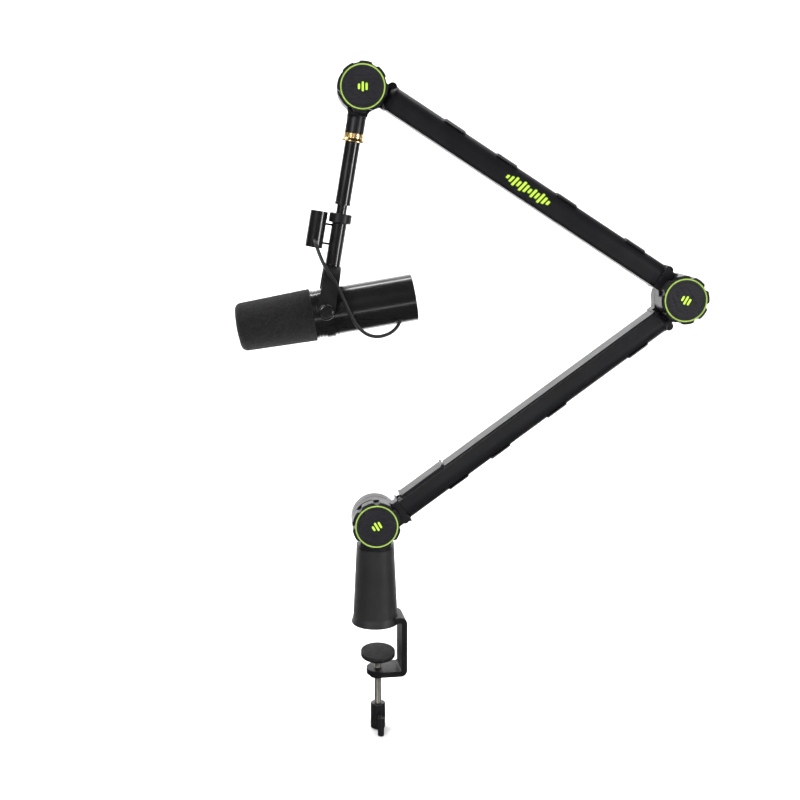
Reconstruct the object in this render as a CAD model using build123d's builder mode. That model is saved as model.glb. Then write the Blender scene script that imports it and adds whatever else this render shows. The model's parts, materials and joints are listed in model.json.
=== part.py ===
from build123d import *
import math
import os

# Broadcast microphone in a yoke, hanging from a two-section desk boom with a C-clamp.
# Frame: origin on the desk top under the middle of the base, +X towards the clamp's
# spine, +Y away from the knobs, +Z up. Both arms and the drop tube lie in the plane Y = 0.
# Millimetres and degrees.

os.makedirs("parts", exist_ok=True)

# ---- clearances ----
running = 0.05           # radial, shaft in its bore
gap = 0.3                # between neighbours that move
seat = 0.15              # all round a plug that slides in

# ---- posture at rest ----
shoulder_height = 117.3
arm_reach = 410.0        # between the joint axes of each arm
lower_rise = 36.2        # lower arm above the horizontal
upper_rise = 180 - 32.85  # upper arm, from the elbow up to the head
drop_tilt = 9.6          # drop tube off the vertical, its foot towards -X
mic_tilt = 9.5           # microphone axis, rear end up
clamp_turn = 5.0         # clamp frame about the vertical
pad_tilt = 8.0           # clamp pad resting on one side of its ball

# ---- hubs ----
hub_radius = 25.9
hub_depth = 15.0         # each of the two discs of a hub
disc_gap = 0.5           # from the arm's middle plane to each disc
hub_step = 3.0           # front shoulder of the front disc
hub_step_radius = hub_radius - 2.9
hub_bolt_radius = 5.0
hub_bolt_head = 3.7
hub_bolt_head_radius = hub_radius - 3.9
washer_radius = hub_radius - 4.9

# ---- friction knobs ----
knob_radius = 26.3
knob_lobes = 8
knob_notch_radius = 4.0
knob_notch_depth = 2.5
knob_edge = 2.0
knob_depth = 13.2
knob_skirt = 1.0
knob_skirt_radius = 20.0
knob_chamfer = 1.2
ring_outer = 23.2
ring_inner = 21.85
ring_groove = 2.0
ring_proud = 0.5
badge_recess = 1.5
badge_proud = 0.2
badge_groove_radius = 19.4
badge_centre_radius = 6.4
badge_relief = 0.4
knob_turns = (0.0, -30.0, 30.0)   # shoulder, elbow and head knobs as left by the user

# ---- arm tube: round on its outer side, flat on its inner side ----
tube_radius = 13.5
tube_outer = 21.3        # outer side of the tube from the line of joints
tube_inner = 4.0         # flat inner side from the same line
tube_wall = 1.8
tube_start = 33.0        # tube's end from the joint axis
tube_corner = 1.2
slot_width = 20.0
cover_width = 24.0
cover_thick = 1.6
cover_leg = 1.2
cover_leg_depth = 4.2
short_cover_from = 39.0
short_cover_to = 95.0
short_cover_thick = 3.4
cover_bar_radius = 1.4
collar_proud = 0.6
collar_taper = 2.5
collar_lip = 2.0
plug_length = 14.0
boss_radius = 5.0
boss_width = 10.0
boss_centre_v = 18.6
boss_set_back = 6.5       # boss centre back from the tube's end
clip_length = 26.5
clip_height = 1.6
clip_angle = 34.0
clip_bevel = 1.1
lower_clips = (0.241, 0.379, 0.564, 0.831)
upper_clips = (0.178, 0.397, 0.585, 0.746)
spring_rod_radius = 1.2
spring_core_radius = 4.0
spring_wire_radius = 0.9
spring_coils = 60
spring_start = 80.0

# ---- drop tube, from the head joint down ----
stub_radius = 10.0
stub_end = 47.5
stub_collar = 0.35
adapter_knurl = 4.8
adapter_flange_radius = 12.2
adapter_length = 8.7
adapter_spigot_radius = 7.0
adapter_spigot = 7.0
adapter_flutes = 24
extension_radius = 8.1
extension_length = 66.9
extension_lip = 0.3
extension_spigot_radius = 5.0
neck_radius = 5.5
neck_visible = 9.2
neck_hidden = 19.0
nut_radius = 11.95
nut_height = 10.1
nut_chamfer = 0.8
post_radius = 8.0
post_length = 45.6
post_socket = 22.0

# ---- yoke ----
pivot_drop = 234.5       # from the head joint to the tilt axis
yoke_width = 18.0
yoke_thick = 3.2
yoke_inner = 29.5        # half the space between the legs
yoke_corner = 21.0
yoke_end_radius = 9.0
post_rivet_radius = 4.0
rivet_head_radius = 6.5
rivet_head = 2.0
stem_radius = 3.0
stem_length = 7.2
yoke_knob_radius = 8.5
yoke_knob_depth = 11.0
yoke_knob_dome = 3.0

# ---- connector shell beside the post ----
shell_radius = 9.3
shell_bore = 7.9
shell_offset = 23.0
shell_from = 133.2
shell_length = 38.7
shell_depth = 24.0
insert_thick = 6.0
insert_radius = 7.8
pin_radius = 1.2
pin_length = 12.0
pin_circle = 3.4
lug_thick = 2.2
lug_width = 6.0
lug_drops = (145.5, 165.9)
exit_drop = 164.2
exit_rim_radius = 3.3
exit_rim = 1.0

# ---- microphone, distances along its axis from the tilt axis, rear positive ----
axis_below_pivot = 4.5
mic_front = -97.0
mic_rear = 96.0
body_radius = 25.4
body_wall = 2.1
collar_front = -14.0
collar_rear = 10.0
collar_radius = 26.0
collar_bore = 22.0
collar_groove = 0.8
pivot_boss_radius = 6.5
pivot_hole_depth = 4.0
foam_radius = 28.3
foam_front_radius = 25.9
foam_front_edge = 7.0
foam_crown = 1.5
foam_bore = 20.3
grille_radius = 19.8
grille_wall = 0.8
grille_front = -88.0
grille_windows = 8
grille_window_width = 9.0
capsule_radius = 15.0
capsule_front = -48.0
capsule_rear = -20.0
capsule_neck_radius = 12.0
mount_rear = -8.0
rear_plate_at = 90.0
rear_plate_thick = 2.5
switch_width = 3.4
switch_travel = 1.5
switch_slot_clear = 0.3
switch_offset = 8.0
switch_flange = 1.2
gland_at = 76.0
gland_angle = 54.0       # below the horizontal on the knob side
gland_lean = 35.0        # towards the microphone's front
gland_radius = 3.2
gland_proud = 3.2
cable_radius = 1.95
cable_exit = 10.5        # straight out of the connector shell
cable_lead = 9.0         # straight into the gland

# ---- base and clamp ----
pad_foot_radius = 25.4
pad_foot_thick = 1.6
cone_foot_radius = 26.6
cone_waist_radius = 24.5
cone_foot_height = 9.0
cone_top = 86.3
cone_top_radius = 20.8
cone_wall = 2.6
turret_gap = 0.3
turret_radius = 20.8
turret_thick = 3.8
turret_neck = 32.0
spigot_radius = 6.95
spigot_length = 30.0
post_tube_radius = 9.5
post_foot_radius = 15.0
post_foot_thick = 4.0
base_screw_circle = 12.0
base_screw_radius = 2.0
base_screw_head_radius = 3.4
base_screw_head = 1.2
bar_width = 36.0
bar_thick = 6.0
bar_height = 9.0         # top of the clamp's upper bar above the desk
bar_flange_radius = 21.0
spine_outer = 33.0
tongue_top = -52.4
tongue_end_centre = 8.0
frame_corner = 7.0
frame_inner_corner = 2.0
screw_x = 2.7
screw_radius = 3.95
thread_boss_radius = 9.0
thread_boss = 4.0
ball_radius = 5.0
ball_z = -41.5
ball_flat = 2.4          # flat under the ball, below its centre
pad_radius = 19.0
pad_plate = 3.0
pad_rubber_thick = 2.5
pad_rubber_top = -33.0
pad_boss_radius = 8.5
pad_boss_drop = 2.0
screw_tip_radius = 2.4
screw_tip = 3.0
handle_top = -93.6
handle_length = 29.1
handle_radius = 8.15
handle_insert_radius = 5.75
handle_insert_proud = 1.6
wing_reach = 26.0
wing_height = 20.0
wing_waist = 3.6
wing_tip_radius = 3.5

# ---- worked out from the above ----
north = Vector(0, 0, 1)
back = Vector(0, 1, 0)


def heading(rise):
    """Unit vector in the plane of the arms at an angle above +X."""
    return Vector(math.cos(math.radians(rise)), 0, math.sin(math.radians(rise)))


shoulder = Vector(0, 0, shoulder_height)
elbow = shoulder + heading(lower_rise) * arm_reach
head = elbow + heading(upper_rise) * arm_reach
drop = heading(270 - drop_tilt)
drop_side = heading(-drop_tilt)
pivot = head + drop * pivot_drop
mic_axis = heading(mic_tilt)
mic_up = heading(mic_tilt + 90)
mic_centre = pivot - mic_up * axis_below_pivot
front_low = -disc_gap - hub_depth
rear_high = disc_gap + hub_depth
tube_centre = tube_outer - tube_radius
collar_start = hub_radius + 1.1
tube_length = arm_reach - 2 * tube_start
adapter_end = stub_end + adapter_length
extension_end = adapter_end + extension_length
nut_from = extension_end + neck_visible
nut_to = nut_from + nut_height
post_from = nut_to + gap
yoke_top = post_from + post_length
yoke_outer = yoke_inner + yoke_thick
knob_back = front_low - gap
knob_front = knob_back - knob_skirt - knob_depth
shell_to = shell_from + shell_length
desk = Plane(origin=(0, 0, 0), x_dir=heading(0).rotate(Axis.Z, clamp_turn), z_dir=north)


def save(piece, name):
    """Label a finished piece and write it to its own file."""
    piece.label = name
    export_step(piece, f"parts/{name}.step")


def facing_plane(centre, along, depth):
    """Plane parallel to the arms: local x along `along`, local z towards +Y, at world Y = depth."""
    return Plane(origin=(centre.X, depth, centre.Z), x_dir=along, z_dir=back)


def cross_plane(centre, along, distance, outer):
    """Plane across a member: local x to its outer side, origin `distance` from the joint."""
    return Plane(origin=centre + along * distance, x_dir=outer, z_dir=along)


# ---- arms ----
def tube_outline(grow=0.0, mode=Mode.ADD):
    """Outline of the arm tube in a cross plane, grown outward all round."""
    radius = tube_radius + grow
    with Locations((tube_centre, 0)):
        Circle(radius, mode=mode)
    with Locations(((tube_centre - tube_inner - grow) / 2, 0)):
        Rectangle(tube_centre + tube_inner + grow, 2 * radius, mode=mode)


def make_arm_tube(joint, along, outer, name):
    """Extruded tube with a slot along its flat side for the covers."""
    with BuildPart() as tube:
        with BuildSketch(cross_plane(joint, along, tube_start, outer)) as section:
            tube_outline()
            fillet(section.vertices().group_by(Axis.X)[0], tube_corner)
            tube_outline(-tube_wall, Mode.SUBTRACT)
            with Locations((-tube_inner, 0)):
                Rectangle(2 * tube_wall + gap, slot_width, mode=Mode.SUBTRACT)
        extrude(amount=tube_length)
    save(tube.part, name)


def make_arm_end(joint, along, outer, low, name, fixed_bolt):
    """Cast arm end: hub disc from world depth `low`, neck, collar and plug."""
    face = facing_plane(joint, along, low)
    side = 1 if face.y_dir.dot(outer) > 0 else -1
    reach_out = tube_outer + collar_proud
    reach_in = tube_inner + cover_thick + collar_proud
    neck = [
        (hub_radius * 0.5, hub_radius * 0.75),
        (collar_start, tube_outer - collar_taper),
        (tube_start, reach_out),
        (tube_start, -reach_in),
        (collar_start, -reach_in),
        (hub_radius * 0.8, -hub_radius * 0.55),
        (0, 0),
    ]
    bore = hub_bolt_radius if fixed_bolt else hub_bolt_radius + running
    with BuildPart() as end:
        with BuildSketch(face):
            Circle(hub_radius)
            Polygon(*[(u, side * v) for u, v in neck], align=None)
        extrude(amount=hub_depth)
        with BuildSketch(cross_plane(joint, along, collar_start, outer)):
            tube_outline(-collar_taper)
        with BuildSketch(cross_plane(joint, along, tube_start - collar_lip, outer)):
            tube_outline(collar_proud)
        loft()
        with BuildSketch(cross_plane(joint, along, tube_start - collar_lip, outer)):
            tube_outline(collar_proud)
            with Locations((-reach_in / 2, 0)):
                Rectangle(reach_in, cover_width)
        extrude(amount=collar_lip)
        with BuildSketch(cross_plane(joint, along, tube_start, outer)):
            tube_outline(-tube_wall - seat)
        extrude(amount=plug_length)
        with BuildSketch(facing_plane(joint, along, -boss_width / 2)):
            with Locations((tube_start - boss_set_back, side * boss_centre_v)):
                Circle(boss_radius)
        extrude(amount=boss_width)
        if not fixed_bolt:
            with BuildSketch(face):
                Circle(hub_radius + 1)
                Circle(hub_step_radius, mode=Mode.SUBTRACT)
                with Locations((hub_radius, 0)):
                    Rectangle(2 * collar_start - hub_radius, 3 * hub_radius, mode=Mode.SUBTRACT)
            extrude(amount=hub_step, mode=Mode.SUBTRACT)
        with BuildSketch(face):
            Circle(bore)
        extrude(amount=hub_depth, mode=Mode.SUBTRACT)
    save(end.part, name)


def make_clips(joint, along, outer, shares, name):
    """Low cable clips bent over the round side of the tube."""
    with BuildPart() as clips:
        for share in shares:
            start = share * arm_reach - clip_length / 2
            edge = tube_centre + tube_radius * math.cos(math.radians(clip_angle))
            with BuildSketch(cross_plane(joint, along, start, outer)):
                with Locations((tube_centre, 0)):
                    Circle(tube_radius + clip_height)
                    Circle(tube_radius, mode=Mode.SUBTRACT)
                with Locations((edge + tube_radius, 0)):
                    Rectangle(2 * tube_radius, 4 * tube_radius, mode=Mode.INTERSECT)
            extrude(amount=clip_length)
        chamfer(clips.edges().filter_by(GeomType.CIRCLE).group_by(SortBy.RADIUS)[-1], clip_bevel)
    save(clips.part, name)


def add_cover(joint, along, outer, start, end, thick):
    """One strip that snaps into the tube's slot, with its two legs clear of the plugs."""
    with BuildSketch(cross_plane(joint, along, start, outer)) as strip:
        with Locations((-tube_inner - thick / 2, 0)):
            Rectangle(thick, cover_width)
    extrude(strip.sketch, amount=end - start)
    leg_start = max(start, tube_start + plug_length) + 2
    leg_end = min(end, arm_reach - tube_start - plug_length) - 2
    with BuildSketch(cross_plane(joint, along, leg_start, outer)) as legs:
        with Locations((-tube_inner + cover_leg_depth / 2, 0)):
            Rectangle(cover_leg_depth, slot_width - 2 * seat)
            Rectangle(cover_leg_depth, slot_width - 2 * seat - 2 * cover_leg, mode=Mode.SUBTRACT)
    extrude(legs.sketch, amount=leg_end - leg_start)


def make_spring(joint, along, outer, name):
    """Counterbalance spring: close coils on a rod between the two plugs."""
    plane = facing_plane(joint, along, 0)
    axis = Axis(joint + outer * tube_centre, along)
    side = 1 if plane.y_dir.dot(outer) > 0 else -1
    rod_start = tube_start + plug_length
    rod_length = arm_reach - 2 * rod_start
    coil_length = 2 * spring_wire_radius * spring_coils
    with BuildPart() as spring:
        with BuildSketch(plane):
            with Locations((rod_start + rod_length / 2, side * tube_centre + spring_rod_radius / 2)):
                Rectangle(rod_length, spring_rod_radius)
            with Locations((spring_start + coil_length / 2, side * tube_centre + spring_core_radius / 2)):
                Rectangle(coil_length, spring_core_radius)
            for turn in range(spring_coils):
                at = spring_start + (2 * turn + 1) * spring_wire_radius
                with Locations((at, side * tube_centre + spring_core_radius)):
                    Circle(spring_wire_radius)
        revolve(axis=axis)
    save(spring.part, name)


def make_hub_bolt(joint, name):
    """Hub bolt: broad domed head at the back, shank right through into the knob."""
    shank = rear_high - knob_front - badge_recess - ring_groove - 1
    with BuildPart() as bolt:
        with BuildSketch(facing_plane(joint, heading(0), rear_high)):
            Circle(hub_bolt_head_radius)
        extrude(amount=hub_bolt_head)
        fillet(bolt.faces().sort_by(Axis.Y)[-1].edges(), hub_bolt_head * 0.6)
        with BuildSketch(facing_plane(joint, heading(0), rear_high - shank)):
            Circle(hub_bolt_radius)
        extrude(amount=shank)
    save(bolt.part, name)


def make_washer(joint, name):
    """Friction washer between the two discs of a hub."""
    with BuildPart() as washer:
        with BuildSketch(facing_plane(joint, heading(0), -disc_gap + running)):
            Circle(washer_radius)
            Circle(hub_bolt_radius, mode=Mode.SUBTRACT)
        extrude(amount=2 * disc_gap - running)
    save(washer.part, name)


lower_along = heading(lower_rise)
lower_outer = heading(lower_rise - 90)
upper_along = heading(upper_rise)
upper_outer = heading(upper_rise - 90)

make_arm_tube(shoulder, lower_along, lower_outer, "lower_arm_tube")
make_arm_end(shoulder, lower_along, lower_outer, front_low, "lower_arm_front_end", False)
make_arm_end(elbow, -lower_along, lower_outer, disc_gap, "lower_arm_rear_end", True)
make_clips(shoulder, lower_along, lower_outer, lower_clips, "lower_arm_clips")
make_spring(shoulder, lower_along, lower_outer, "lower_arm_spring")
make_hub_bolt(elbow, "elbow_hub_bolt")
make_washer(elbow, "elbow_friction_washer")

with BuildPart() as lower_covers:
    add_cover(
        shoulder, lower_along, lower_outer, short_cover_from, short_cover_to, short_cover_thick
    )
    bar_v = -tube_inner - short_cover_thick
    for bar_u in (short_cover_from, short_cover_to):
        with BuildSketch(facing_plane(shoulder, lower_along, -cover_width / 2)):
            with Locations((bar_u, bar_v)):
                Circle(cover_bar_radius)
        extrude(amount=cover_width)
    add_cover(
        shoulder, lower_along, lower_outer,
        short_cover_to + cover_bar_radius + gap, arm_reach - tube_start, cover_thick,
    )
save(lower_covers.part, "lower_arm_covers")

make_arm_tube(elbow, upper_along, upper_outer, "upper_arm_tube")
make_arm_end(elbow, upper_along, upper_outer, front_low, "upper_arm_front_end", False)
make_arm_end(head, -upper_along, upper_outer, disc_gap, "upper_arm_rear_end", True)
make_clips(elbow, upper_along, upper_outer, upper_clips, "upper_arm_clips")
make_spring(elbow, upper_along, upper_outer, "upper_arm_spring")
make_hub_bolt(head, "head_hub_bolt")
make_washer(head, "head_friction_washer")

with BuildPart() as upper_cover:
    add_cover(elbow, upper_along, upper_outer, tube_start, arm_reach - tube_start, cover_thick)
save(upper_cover.part, "upper_arm_cover")


# ---- friction knobs, one on each hub ----
def make_knob(joint, turn, name):
    """Lobed clamping knob, its coloured ring and its face badge."""
    rim = knob_front + knob_depth
    with BuildPart() as knob:
        with BuildSketch(facing_plane(joint, heading(-turn), knob_front)) as lobes:
            Circle(knob_radius)
            with PolarLocations(knob_radius - knob_notch_depth + knob_notch_radius, knob_lobes):
                Circle(knob_notch_radius, mode=Mode.SUBTRACT)
            fillet(lobes.vertices(), knob_edge)
        extrude(amount=knob_depth)
        chamfer(knob.faces().sort_by(Axis.Y)[0].outer_wire().edges(), knob_chamfer)
        with BuildSketch(facing_plane(joint, heading(0), rim)):
            Circle(knob_skirt_radius)
        extrude(amount=knob_skirt)
        with BuildSketch(facing_plane(joint, heading(0), knob_front)):
            Circle(ring_outer)
            Circle(ring_inner, mode=Mode.SUBTRACT)
        extrude(amount=ring_groove, mode=Mode.SUBTRACT)
        with BuildSketch(facing_plane(joint, heading(0), knob_front)):
            Circle(ring_inner)
        extrude(amount=badge_recess, mode=Mode.SUBTRACT)
        with BuildSketch(facing_plane(joint, heading(0), knob_front + badge_recess + ring_groove)):
            Circle(hub_bolt_radius + running)
        extrude(amount=knob_depth, mode=Mode.SUBTRACT)
    save(knob.part, f"{name}_knob")

    with BuildPart() as ring:
        with BuildSketch(facing_plane(joint, heading(0), knob_front - ring_proud)):
            Circle(ring_outer)
            Circle(ring_inner, mode=Mode.SUBTRACT)
        extrude(amount=ring_groove + ring_proud)
    save(ring.part, f"{name}_knob_ring")

    with BuildPart() as badge:
        with BuildSketch(facing_plane(joint, heading(0), knob_front - badge_proud)):
            Circle(ring_inner)
        extrude(amount=badge_recess + badge_proud)
        with BuildSketch(facing_plane(joint, heading(0), knob_front - badge_proud)):
            Circle(badge_groove_radius)
            Circle(badge_groove_radius - 2 * badge_relief, mode=Mode.SUBTRACT)
            Circle(badge_centre_radius + badge_relief)
            Circle(badge_centre_radius, mode=Mode.SUBTRACT)
        extrude(amount=badge_relief, mode=Mode.SUBTRACT)
    save(badge.part, f"{name}_knob_badge")


for joint, turn, name in zip((shoulder, elbow, head), knob_turns, ("shoulder", "elbow", "head")):
    make_knob(joint, turn, name)

# ---- base: foot, clamp frame, post, cone ----
with BuildPart() as base_foot_pad:
    with BuildSketch(desk):
        Circle(pad_foot_radius)
    extrude(amount=pad_foot_thick)
save(base_foot_pad.part, "base_foot_pad")

bar_low = bar_height - bar_thick
tongue_low = tongue_top - bar_thick
side_view = Plane(origin=(0, 0, 0), x_dir=desk.x_dir, z_dir=-desk.y_dir)
with BuildPart() as clamp_frame:
    with BuildSketch(side_view) as side:
        with BuildLine():
            Polyline(
                (0, bar_low),
                (0, bar_height),
                (spine_outer, bar_height),
                (spine_outer, tongue_low),
                (tongue_end_centre - bar_width / 2, tongue_low),
                (tongue_end_centre - bar_width / 2, tongue_top),
                (spine_outer - bar_thick, tongue_top),
                (spine_outer - bar_thick, bar_low),
                close=True,
            )
        make_face()
        fillet(side.vertices().group_by(Axis.X)[-1], frame_corner)
        fillet(side.vertices().filter_by_position(Axis.X, spine_outer - bar_thick - 0.1,
                                                  spine_outer - bar_thick + 0.1), frame_inner_corner)
    extrude(amount=bar_width / 2, both=True)
    with BuildSketch(desk.offset(tongue_low - 1)):
        with Locations((tongue_end_centre - bar_width / 2, 0)):
            Rectangle(bar_width, bar_width + 2)
        with Locations((tongue_end_centre, 0)):
            Circle(bar_width / 2, mode=Mode.SUBTRACT)
    extrude(amount=bar_thick + 2, mode=Mode.SUBTRACT)
    with BuildSketch(desk.offset(bar_low)):
        Circle(bar_flange_radius)
    extrude(amount=bar_thick)
    with BuildSketch(desk.offset(tongue_low - thread_boss)):
        with Locations((screw_x, 0)):
            Circle(thread_boss_radius)
    extrude(amount=thread_boss)
    with BuildSketch(desk.offset(tongue_low - thread_boss)):
        with Locations((screw_x, 0)):
            Circle(screw_radius + running)
    extrude(amount=thread_boss + bar_thick, mode=Mode.SUBTRACT)
    with BuildSketch(desk.offset(bar_low)):
        with PolarLocations(base_screw_circle, 3):
            Circle(base_screw_radius)
    extrude(amount=bar_thick, mode=Mode.SUBTRACT)
save(clamp_frame.part, "clamp_frame")

post_top = cone_top - cone_wall
with BuildPart() as base_post:
    with BuildSketch(desk.offset(bar_height)):
        Circle(post_foot_radius)
    extrude(amount=post_foot_thick)
    with BuildSketch(desk.offset(bar_height)):
        Circle(post_tube_radius)
    extrude(amount=post_top - bar_height)
    with BuildSketch(desk.offset(bar_height)):
        with PolarLocations(base_screw_circle, 3):
            Circle(base_screw_radius)
    extrude(amount=post_foot_thick, mode=Mode.SUBTRACT)
    with BuildSketch(desk.offset(cone_top - spigot_length - gap)):
        Circle(spigot_radius + running)
    extrude(amount=spigot_length, mode=Mode.SUBTRACT)
save(base_post.part, "base_post")

with BuildPart() as base_screws:
    with BuildSketch(desk.offset(bar_low - base_screw_head)):
        with PolarLocations(base_screw_circle, 3):
            Circle(base_screw_head_radius)
    extrude(amount=base_screw_head)
    with BuildSketch(desk.offset(bar_low)):
        with PolarLocations(base_screw_circle, 3):
            Circle(base_screw_radius)
    extrude(amount=bar_thick + post_foot_thick)
save(base_screws.part, "base_screws")

with BuildPart() as base_cone:
    with BuildSketch(side_view):
        with BuildLine():
            outer_top = Line((0, cone_top), (cone_top_radius, cone_top))
            flank = Line(outer_top @ 1, (cone_waist_radius, cone_foot_height))
            foot = Line(flank @ 1, (cone_foot_radius, pad_foot_thick))
            sole = Line(foot @ 1, (cone_foot_radius - cone_wall, pad_foot_thick))
            inner_foot = Line(sole @ 1, (cone_waist_radius - cone_wall, cone_foot_height))
            inner_flank = Line(inner_foot @ 1, (cone_top_radius - cone_wall, post_top))
            ceiling = Line(inner_flank @ 1, (0, post_top))
            Line(ceiling @ 1, outer_top @ 0)
        make_face()
    revolve(axis=Axis.Z)
    with BuildSketch(desk.offset(pad_foot_thick)):
        with Locations((cone_foot_radius, 0)):
            Rectangle(2 * (cone_foot_radius - tongue_end_centre), bar_width + gap)
    extrude(amount=bar_height - pad_foot_thick, mode=Mode.SUBTRACT)
    with BuildSketch(desk.offset(post_top)):
        Circle(spigot_radius + gap)
    extrude(amount=cone_wall, mode=Mode.SUBTRACT)
save(base_cone.part, "base_cone")

# ---- turret: turns on the post and carries the shoulder hub ----
turret_low = cone_top + turret_gap
turret_high = turret_low + turret_thick
with BuildPart() as shoulder_housing:
    with BuildSketch(facing_plane(shoulder, heading(0), disc_gap)):
        Circle(hub_radius)
        with Locations((0, (shoulder_height - turret_high) / 2)):
            Rectangle(turret_neck, shoulder_height - turret_high)
    extrude(amount=hub_depth)
    with BuildSketch(Plane.XY.offset(turret_low)):
        Circle(turret_radius)
    extrude(amount=turret_thick)
    with BuildSketch(Plane.XY.offset(turret_low - spigot_length)):
        Circle(spigot_radius)
    extrude(amount=spigot_length)
    with BuildSketch(facing_plane(shoulder, heading(0), disc_gap)):
        Circle(hub_bolt_radius)
    extrude(amount=hub_depth, mode=Mode.SUBTRACT)
save(shoulder_housing.part, "shoulder_housing")
make_hub_bolt(shoulder, "shoulder_hub_bolt")
make_washer(shoulder, "shoulder_friction_washer")

# ---- clamp screw, ball, tilting pad and wing handle ----
screw_axis = desk.from_local_coords(Vector(screw_x, 0, 0))
ball_centre = screw_axis + north * ball_z
with BuildPart() as swivel_ball:
    with BuildSketch(Plane(origin=ball_centre, x_dir=desk.x_dir, z_dir=-desk.y_dir)):
        Circle(ball_radius)
        with Locations((-ball_radius, 0)):
            Rectangle(2 * ball_radius, 2 * ball_radius, mode=Mode.SUBTRACT)
        with Locations((0, -ball_flat - ball_radius)):
            Rectangle(4 * ball_radius, 2 * ball_radius, mode=Mode.SUBTRACT)
        with Locations((0, -ball_flat)):
            Rectangle(2 * (screw_tip_radius + running), 2 * (screw_tip + gap), mode=Mode.SUBTRACT)
    revolve(axis=Axis(ball_centre, north))
save(swivel_ball.part, "swivel_ball")

pad_plane = Plane(origin=ball_centre, x_dir=desk.x_dir, z_dir=north.rotate(
    Axis((0, 0, 0), desk.x_dir), pad_tilt))
plate_low = pad_rubber_top - pad_rubber_thick - pad_plate - ball_z
with BuildPart() as swivel_pad:
    with BuildSketch(pad_plane.offset(plate_low)):
        Circle(pad_radius)
    extrude(amount=pad_plate)
    chamfer(swivel_pad.edges().sort_by_distance(ball_centre)[-2:], 0.6)
    with BuildSketch(pad_plane.offset(-pad_boss_drop)):
        Circle(pad_boss_radius)
    extrude(amount=plate_low + pad_boss_drop)
    with Locations(Location(ball_centre)):
        Sphere(ball_radius + 2 * running, mode=Mode.SUBTRACT)
save(swivel_pad.part, "swivel_pad")

with BuildPart() as pad_rubber:
    with BuildSketch(pad_plane.offset(plate_low + pad_plate)):
        Circle(pad_radius)
    extrude(amount=pad_rubber_thick)
save(pad_rubber.part, "pad_rubber")

screw_top = ball_z - ball_flat - gap
with BuildPart() as clamp_screw:
    with BuildSketch(Plane(origin=screw_axis + north * screw_top, x_dir=desk.x_dir, z_dir=north)):
        Circle(screw_tip_radius)
    extrude(amount=screw_tip)
    with BuildSketch(Plane(origin=screw_axis + north * handle_top, x_dir=desk.x_dir, z_dir=north)):
        Circle(screw_radius)
    extrude(amount=screw_top - handle_top)
    with BuildSketch(Plane(origin=screw_axis + north * handle_top, x_dir=desk.x_dir, z_dir=north)):
        RegularPolygon(handle_insert_radius, 6)
    extrude(amount=handle_insert_proud)
save(clamp_screw.part, "clamp_screw")

handle_plane = Plane(origin=screw_axis + north * handle_top, x_dir=desk.x_dir, z_dir=-north)
with BuildPart() as wing_handle:
    with BuildSketch(handle_plane):
        Circle(handle_radius)
    extrude(amount=handle_length)
    fillet(wing_handle.edges().filter_by(GeomType.CIRCLE), 1.2)
    with BuildSketch(handle_plane.offset((handle_length - wing_height))):
        with Locations((0, wing_reach - wing_tip_radius), (0, wing_tip_radius - wing_reach)):
            Circle(wing_tip_radius)
        Rectangle(wing_waist, 2 * (wing_reach - wing_tip_radius))
    extrude(amount=wing_height)
save(wing_handle.part, "wing_handle")


# ---- head: front disc, neck and stub of the drop tube ----
def drop_plane(distance):
    """Plane across the drop tube, local z down along it."""
    return Plane(origin=head + drop * distance, x_dir=drop_side, z_dir=drop)


stub_neck = [
    (0, hub_radius * 0.8),
    (collar_start, stub_radius + stub_collar),
    (collar_start + 2, stub_radius + stub_collar),
    (collar_start + 2, -stub_radius - stub_collar),
    (collar_start, -stub_radius - stub_collar),
    (0, -hub_radius * 0.8),
]
with BuildPart() as head_stub:
    with BuildSketch(facing_plane(head, drop, front_low)):
        Circle(hub_radius)
        Polygon(*stub_neck, align=None)
    extrude(amount=hub_depth)
    with BuildSketch(drop_plane(collar_start)):
        Circle(stub_radius + stub_collar)
    extrude(amount=4)
    with BuildSketch(drop_plane(collar_start)):
        Circle(stub_radius)
    extrude(amount=stub_end - collar_start)
    with BuildSketch(drop_plane(stub_end - adapter_spigot)):
        Circle(adapter_spigot_radius)
    extrude(amount=adapter_spigot, mode=Mode.SUBTRACT)
    with BuildSketch(facing_plane(head, drop, front_low)):
        Circle(hub_bolt_radius + running)
    extrude(amount=hub_depth, mode=Mode.SUBTRACT)
save(head_stub.part, "head_stub")

with BuildPart() as brass_adapter:
    with BuildSketch(drop_plane(stub_end - adapter_spigot)):
        Circle(adapter_spigot_radius)
    extrude(amount=adapter_spigot)
    with BuildSketch(drop_plane(stub_end)):
        Circle(stub_radius + 0.2)
        with PolarLocations(stub_radius + 0.4, adapter_flutes):
            Circle(0.55, mode=Mode.SUBTRACT)
    extrude(amount=adapter_knurl)
    with BuildSketch(drop_plane(stub_end + adapter_knurl)):
        Circle(stub_radius)
    with BuildSketch(drop_plane(adapter_end - 1)):
        Circle(adapter_flange_radius)
    loft()
    with BuildSketch(drop_plane(adapter_end - 1)):
        Circle(adapter_flange_radius)
    extrude(amount=1)
    with BuildSketch(drop_plane(stub_end)):
        Circle(extension_spigot_radius)
    extrude(amount=adapter_length, mode=Mode.SUBTRACT)
save(brass_adapter.part, "brass_adapter")

with BuildPart() as extension_tube:
    with BuildSketch(drop_plane(stub_end)):
        Circle(extension_spigot_radius)
    extrude(amount=adapter_length)
    with BuildSketch(drop_plane(adapter_end)):
        Circle(extension_radius)
    extrude(amount=extension_length)
    with BuildSketch(drop_plane(extension_end - 2.5)):
        Circle(extension_radius + extension_lip)
    extrude(amount=2.5)
    with BuildSketch(drop_plane(extension_end)):
        Circle(neck_radius)
    extrude(amount=neck_visible + nut_height + neck_hidden)
save(extension_tube.part, "extension_tube")

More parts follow.
